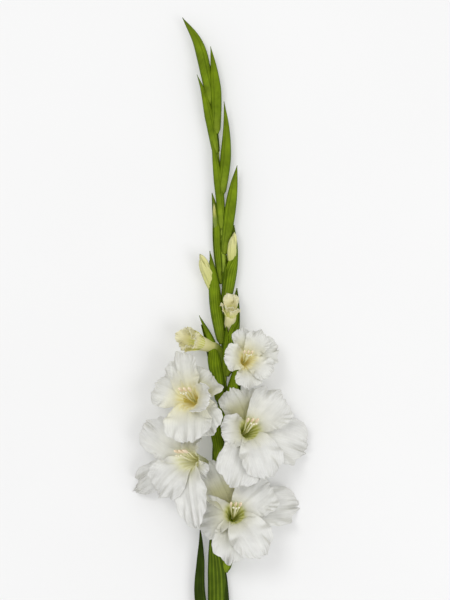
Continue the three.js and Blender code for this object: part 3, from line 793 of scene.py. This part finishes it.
def build_stem():
    """The stem, with five faint ridges."""
    bm = new_mesh()
    tube(bm, STEM, lambda t, a: stem_radius(t) * (1 + 0.03 * math.cos(5 * a)), 25, even(0, 1, 120))
    finish(bm, STEM_SKIN, "stem")


def build_leaf(name, points):
    """A sword leaf: a flat blade with fine ribs, rounder at its foot, where it wraps the stem."""
    line = line_through(points)
    spread = Line([Vector((k, p[3], p[4])) for k, p in enumerate(points)], 60)

    def radius(t, angle):
        size = spread.knot(line.share(t))
        ribs = 0.12 * math.cos(14 * angle) * smooth(size.y, 1, 4)
        return ellipse(angle, size.y, size.z) + ribs

    bm = new_mesh()
    tube(bm, line, radius, 48, even(0, 1, 100))
    finish(bm, LEAF if name == "leaf_middle" else DARK_LEAF, name)


# Bracts


def build_bracts(name):
    """A pair of bracts: the outer one wraps the inner one, or both stand open round what grew out."""
    side, half, depth, widest, taper, points = BRACTS[name]
    line = line_through(points)
    opens = OPENS.get(name, -1.25 * side)

    def wrapped(share, turn, gap, longest, clear):
        """One bract, of a share of the pair's width and up to the longest of its line. Its middle lies
        behind, at turn from the way that the pair opens, and gap(t) is half of the angle that it
        leaves open. It keeps clear of the stem."""
        def surface(along, across):
            t = along * longest
            angle = opens + math.pi + turn + (math.pi - gap(t)) * across
            angle = math.atan2(math.sin(angle), math.cos(angle))
            wide = bud_shape(t, widest, taper, BRACT_ROOT) * share
            near, right = line.sides(t, UP)
            keel = 0.05 * math.exp(-(across / 0.07) ** 2)
            flare = 0.06 * smooth(abs(across), 0.8, 1) * smooth(t, 0.3, 0.6)
            out = ellipse(angle, half * wide, depth * wide) * (1 + keel + flare)
            point = line.at(t) + right * math.sin(angle) * out + near * math.cos(angle) * out
            point = off_the_stem(point, clear)
            point.z = max(point.z, BRACT_TABLE_GAP)
            return point
        return surface

    bm = new_mesh()
    if name in OPENS:
        widest_gap, begins = GAPS.get(name, USUAL_GAP)

        def gap_from(closed, wide):
            return lambda t: lerp(closed, wide, smooth(t, begins, begins + 0.3))

        outer = wrapped(0.96, 0.25 * side, gap_from(0.1, widest_gap), 1, 0.8)
        inner = wrapped(0.86, -0.5 * side, gap_from(0.2, widest_gap * 0.8), 0.9, 0.4)
        sheet(bm, outer, 36, 54, 0.5)
        sheet(bm, inner, 30, 44, 0.4, part=INNER_BRACT)
    else:
        def core(t, angle):
            return ellipse(angle, half * CORE, depth * CORE) * bud_shape(t, widest, taper, BRACT_ROOT)

        outer = wrapped(0.97, 0, lambda t: lerp(0.7, 1.05, smooth(t, 0, 0.4)), 1, 0.8)
        tube(bm, line, core, 24, even(0, 0.98, 40), part=INNER_BRACT, clear=STEM_GAP)
        sheet(bm, outer, 36, 54, 0.45)
    finish(bm, BRACT, name)


# Rolled buds and flowers


def build_rolled(name):
    """A bud whose petals are still rolled round each other, with three folds and a ragged tip."""
    half, widest, taper, points = COLOURED_BUDS[name]
    line = line_through(points)

    def radius(t, angle):
        winding = angle * 3 / (2 * math.pi) + t * 1.5
        fold = 0.86 + 0.22 * (winding - math.floor(winding)) ** 0.8
        crumple = 1 + 0.06 * math.sin(9 * angle + 7 * t) * smooth(t, 0.3, 0.9)
        slim = lerp(0.6, 1, smooth(t, 0.4, 0.72))
        return half * bud_shape(t, widest, taper) * fold * crumple * slim

    def lift(t, angle):
        return half * smooth(t, 0.8, 0.97) * (0.6 * math.sin(3 * angle + 1) + 0.45 * math.sin(7 * angle))

    bm = new_mesh()
    tube(bm, line, radius, 60, even(0, 1, 50), front=RIGHT, clear=STEM_GAP, lift=lift)
    finish(bm, TIP_CREAM if name == "petals_07" else BUD_CREAM, name)


def throat_radius(height, size):
    """The throat's radius at a height from its rim, for a flower of a size."""
    rise = min(max(height / (THROAT_DEPTH * size) + 1, 0), 1.2)
    return size * (THROAT_FLOOR + (THROAT_RIM - THROAT_FLOOR) * rise ** 1.3)


def frame_of(middle, lean):
    """A flower's frame: its own Y is the axis of its throat."""
    right, up = lean
    axis = Vector((right, up, math.sqrt(1 - right * right - up * up)))
    first = (RIGHT - axis * axis.x).normalized()
    second = first.cross(axis)
    place = seen(middle)
    return Matrix((
        (first.x, axis.x, second.x, place.x),
        (first.y, axis.y, second.y, place.y),
        (first.z, axis.z, second.z, place.z),
        (0, 0, 0, 1),
    ))


def from_heart(across, along):
    """How far a place on a blade is from its heart, 1 on the margin, and the angle round it."""
    distance = math.hypot(across, max(along - HEART, 0) / (1 - HEART))
    return distance, math.atan2(across, (along - HEART) * HEART_STRETCH)


def petal_surface(closed, size, matrix, petal, number):
    """One petal's middle surface, from the throat's floor up its wall and out to the tip."""
    tip, half, layer_name, extra = petal
    inner = layer_name == "inner"
    arch = extra.get("arch", 2 if closed else 4)
    cup = extra.get("cup", 0.03 if closed else 0.012)
    twist = extra.get("twist", 0)
    pointed = extra.get("point", 0.5)
    fan = extra.get("fan", 0.85)
    belly = extra.get("belly", 0)
    end = matrix.inverted() @ seen(tip)
    reach = math.hypot(end.x, end.z)
    turn = math.atan2(end.z, end.x)
    outward = Vector((math.cos(turn), 0, math.sin(turn)))
    aside = Vector((-math.sin(turn), 0, math.cos(turn)))
    up = Vector((0, 1, 0))
    root_height = PETAL_ROOT * size
    root_radius = throat_radius(root_height, size)
    rib = [
        Vector((root_radius, root_height)), Vector((root_radius + 3.5 * size, 1.2 * size)),
        Vector((lerp(root_radius, reach, 0.5) + belly, end.y * 0.4 + arch)), Vector((reach, end.y)),
    ]
    floor = (3 - THROAT_DEPTH) * size
    seed = number * 1.7
    frill = extra.get("frill", 0.75 if closed else 1)

    def rib_at(w):
        """(middle, heading, s) at w along the whole petal, where s is 0 at the foot of its blade."""
        if w < PETAL_FOOT:
            height = lerp(floor, root_height, w / PETAL_FOOT)
            high = throat_radius(height + 0.5, size)
            low = throat_radius(height - 0.5, size)
            return Vector((throat_radius(height, size), height)), Vector((high - low, 1)).normalized(), 0
        s = (w - PETAL_FOOT) / (1 - PETAL_FOOT)
        a, b, c, d = rib
        q = 1 - s
        slope = (b - a) * q * q + (c - b) * 2 * q * s + (d - c) * s * s
        return bezier(*rib, s), slope.normalized(), s

    def surface(along, v):
        # The tip is rounded and the margin notched
        u = (along - PETAL_FOOT) / (1 - PETAL_FOOT)
        w = along - (0.16 * u ** 4 * v * v * (1 - PETAL_FOOT) if u > 0 else 0)
        margin, around = from_heart(v, u)
        bite = smooth(margin, 0.8, 1.0) * smooth(u, 0.3, 0.6)
        notch = sum(deep * math.sin(count * around + own * seed) for deep, count, own in NOTCHES)
        w = min(max(w + notch * bite * max(math.cos(around), 0), 0), 1)
        middle, heading, s = rib_at(w)

        # Its width, and how it bends round the throat and flattens further out
        closing = max(1 - ((s - 0.68) / 0.36) ** 2, 0.05) ** pointed if s > 0.68 else 1
        wide = closing * ((fan * middle.x) ** -4 + half ** -4) ** -0.25
        wide *= 1 + notch * 1.6 * bite
        bend = lerp(1 / throat_radius(min(middle.y, 0), size), cup, smooth(s, 0.12, 0.5))
        side = math.sin(bend * v * wide) / bend
        rise = (math.cos(bend * v * wide) - 1) / bend

        # Waves along its margin in three sizes, pleats and the groove of its rib
        edge, phase = from_heart(v, s)
        waves = RUFFLE * (0.4 if closed else size) * smooth(edge, 0.4, 1.05) * math.sin(4 * phase)
        uneven = 0.75 + 0.35 * math.sin(5 * phase + 3 * seed)
        frills = FRILL * size * smooth(edge, 0.45, 1.02) * uneven * math.sin(
            8 * phase + seed + 1.6 * math.sin(3 * phase + seed))
        crimps = CRIMP * size * smooth(edge, 0.66, 1.0) ** 1.5 * math.sin(
            25 * phase + 2 * seed + 2.5 * math.sin(4 * phase + seed))
        height = smooth(s, 0.15, 0.5) * (waves + frill * (frills + crimps))
        pleats = 0.4 * math.sin(v * wide * 1.7 + seed) + math.sin(v * wide * 0.6 + 2 * seed)
        height += PLEAT * size * pleats * smooth(s, 0.25, 0.7) * (1 - smooth(edge, 0.85, 1.1))
        groove = math.exp(-(v * wide / 1.6) ** 2) * smooth(s, 0.05, 0.3) * (1 - smooth(s, 0.75, 1))
        height -= GROOVE * size * groove

        # The inner petals lie before the outer ones
        layer = (-1 if inner else 1) * lerp(0.35, 1.5, smooth(s, 0, 0.25))
        tilt = twist * smooth(s, 0.2, 0.8)
        behind = outward * heading.y - up * heading.x
        off_side = side * math.cos(tilt) - (rise + height) * math.sin(tilt)
        off_back = side * math.sin(tilt) + (rise + height) * math.cos(tilt) + layer
        point = outward * middle.x + up * middle.y + aside * off_side + behind * off_back
        point = matrix @ point
        point.z = max(point.z, PETAL_THICKNESS / 2 + TABLE_GAP)
        return point

    return surface


def tube_line(name, matrix, size):
    """The line of a flower's tube, from the foot of its bracts to the lip of its cup, and where along
    it the throat's floor is."""
    foot = line_through(BRACTS["spathe_" + name[-2:]][5])
    start = foot.at(TUBE_START)
    floor = matrix @ Vector((0, (1 - THROAT_DEPTH) * size, 0))
    lip = matrix @ Vector((0, CUP_LIP * size, 0))
    axis = matrix.to_3x3() @ Vector((0, 1, 0))
    length = (floor - start).length
    over = SET_OVER.get(name, Vector())
    leaving = start + foot.heading(TUBE_START) * length * 0.4 + over
    arriving = floor - axis * length * 0.35 + over
    path = [bezier(start, leaving, arriving, floor, k / 8) for k in range(9)]
    line = Line(path + [floor.lerp(lip, share) for share in (0.25, 0.5, 0.75, 1)])
    return line, 1 - (lip - floor).length / line.lengths[-1]


def build_flower(name):
    """Six petals that line a throat, and the tube outside it."""
    size, middle, lean, petals = FLOWERS[name]
    closed = name in CLOSED
    matrix = frame_of(middle, lean)
    inverse = matrix.inverted()
    bm = new_mesh()
    layers = bm.verts.layers.float
    for number, petal in enumerate(petals):
        lower = petal[0][1] < middle[1] - 8
        near, far = CRISP_EDGE if lower and name in CRISP else (
            THROAT_START, THROAT_FADE.get(name, WIDE_FADE))
        columns, rows = CLOSED_GRID if closed else OPEN_GRID
        surface = petal_surface(closed, size, matrix, petal, number)
        for vert in sheet(bm, surface, columns, rows, PETAL_THICKNESS):
            along = vert[layers["along"]]
            # Painted olive shade, across the middle of the blade and away from its margins
            belt = smooth(along, 0.2, 0.4) * (1 - smooth(along, 0.6, 0.92))
            inward = 1 - 0.7 * smooth(abs(vert[layers["across"]]), 0.5, 1)
            vert[layers["olive_shade_amount"]] = OLIVE_SHADED_PETALS.get((name, number), 0) * belt * inward
            local = inverse @ vert.co
            out = math.hypot(local.x, local.z) / size
            vert[layers["deep"]] = (1 - smooth(out, near, far)) ** 1.6 * (1 - smooth(along, 0.3, 0.6))

    line, cup = tube_line(name, matrix, size)
    plump = PLUMP.get(name, 0)

    def radius(t, angle):
        if t < cup:
            narrow = lerp(TUBE_RADIUS * 0.8, THROAT_FLOOR * 1.05, t / cup) * size
            return narrow + plump * smooth(t, 0.3 * cup, 0.9 * cup)
        rise = (t - cup) / (1 - cup)
        height = lerp((1 - THROAT_DEPTH) * size, CUP_LIP * size, rise)
        return throat_radius(height, size) + TUBE_SKIN * size + plump * (1 - rise)

    def along_tube(t, inset):
        if inset:
            return INSIDE_TUBE
        return 0.55 * t ** GREEN_FOOT[name] if closed else 0.36 * t

    wall = [(lerp(1, cup + 0.02, k / 8), TUBE_WALL * size) for k in range(9)]
    tube(bm, line, radius, 36, even(0, 1, 40) + wall, part=TUBE, front=RIGHT, clear=STEM_GAP,
         along=along_tube)
    for vert in bm.verts:
        if vert[layers["part"]] == TUBE and vert[layers["along"]] < 0:
            vert[layers["deep"]] = 1
        elif vert[layers["part"]] == TUBE and closed:
            # Off the rib's place, so that the tube keeps its own green
            vert[layers["across"]] = 0.4
    finish(bm, FLOWER_MATERIALS[name], name)


def build_stamens(name):
    """Three stamens with long anthers and a style that forks in three, in the flower's frame and for
    a size of 1."""
    size, middle, lean, _ = FLOWERS[name.replace("stamens", "bloom")]
    matrix = frame_of(middle, lean)
    floor = 4.3 - THROAT_DEPTH

    def place(x, y, z):
        return matrix @ (Vector((x, y, z)) * size)

    bm = new_mesh()
    def seat(t, angle):
        return 1.9 * size * (1 - 0.4 * t)

    def thread(t, angle):
        return (0.85 - 0.3 * t) * size

    def anther(t, angle):
        round_end = math.sqrt(max(1 - ((t - 0.85) / 0.15) ** 2, 0.01))
        return 1.5 * size * round_end * (1 - 0.16 * math.cos(2 * angle))

    def style(t, angle):
        return 0.7 * size

    def branch(t, angle):
        return lerp(0.45, 0.95, smooth(t, 0.3, 0.9)) * size

    root = Line([place(0, floor, 0), place(0, floor + 3, -0.3)])
    tube(bm, root, seat, 16, even(0, 1, 3), front=RIGHT)
    for k in (-1, 0, 1):
        line = Line([
            place(k * 0.6, floor + 1, 0), place(k * 2.2, -12, -2), place(k * 4.2, 2, -6),
            place(k * 5, 15, -7.5),
        ])
        tube(bm, line, thread, 10, even(0, 0.8, 24), front=RIGHT)
        tube(bm, line, anther, 14, even(0.7, 1, 20), part=ANTHER, front=RIGHT)
    middle_line = Line([place(0, floor + 1, 0.4), place(0, -8, 0.6), place(0, 10, -3)])
    tube(bm, middle_line, style, 10, even(0, 1, 20), part=STYLE, front=RIGHT)
    for k in (-1, 0, 1):
        line = Line([place(0, 9, -2.8), place(k * 1.6, 12, -2.6), place(k * 3, 15, -1.6 - abs(k))])
        tube(bm, line, branch, 10, even(0, 1, 10), part=STYLE, front=RIGHT)
    finish(bm, STAMEN, name)


build_stem()
for leaf_name, leaf_points in LEAVES.items():
    build_leaf(leaf_name, leaf_points)
for bract_name in BRACTS:
    build_bracts(bract_name)
for bud_name in COLOURED_BUDS:
    build_rolled(bud_name)
for flower_name in FLOWERS:
    build_flower(flower_name)
    if flower_name not in CLOSED:
        build_stamens(flower_name.replace("bloom", "stamens"))


# Floor, light and camera


# Half the floor's side and the place that the lights point at, in metres
FLOOR_HALF = 6
LIT_PLACE = (0, 0.4, 0)
SKY_STRENGTH = 0.72
CAMERA_LENS_MM = 132


def build_floor():
    """A pale floor that glows a little, so that it stays even."""
    bm = bmesh.new()
    bmesh.ops.create_grid(bm, x_segments=1, y_segments=1, size=FLOOR_HALF)
    material, layout = new_material("floor")
    colour = layout.ramp(layout.noise(4.0), [(0.3, (0.66, 0.66, 0.66)), (0.7, (0.67, 0.67, 0.67))])
    layout.show(layout.shader("ShaderNodeBsdfPrincipled", {
        "Base Color": colour,
        "Roughness": 0.9,
        "Emission Color": colour,
        "Emission Strength": 0.28,
    }))
    floor = placed("floor", bm, material)


def build_light(name, place, size, power):
    """A round soft light that points at the middle of the flower."""
    data = bpy.data.lights.new(name, "AREA")
    data.shape = "DISK"
    data.size = size
    data.energy = power
    light = bpy.data.objects.new(name, data)
    light.location = place
    light.rotation_euler = (Vector(LIT_PLACE) - Vector(place)).to_track_quat("-Z", "Y").to_euler()
    bpy.context.scene.collection.objects.link(light)


build_floor()
build_light("key", (-0.7, 1.2, 2.3), size=1.0, power=16)
build_light("fill", (1.3, -0.3, 1.9), size=1.4, power=15)
world = bpy.data.worlds.new("studio")
world.use_nodes = True
sky = world.node_tree.nodes["Background"]
sky.inputs["Color"].default_value = (1, 1, 1, 1)
sky.inputs["Strength"].default_value = SKY_STRENGTH
bpy.context.scene.world = world
bpy.context.scene.view_settings.view_transform = "Standard"

camera_data = bpy.data.cameras.new("camera")
camera_data.lens = CAMERA_LENS_MM
camera = bpy.data.objects.new("camera", camera_data)
camera.location = EYE * MM
bpy.context.scene.collection.objects.link(camera)
bpy.context.scene.camera = camera
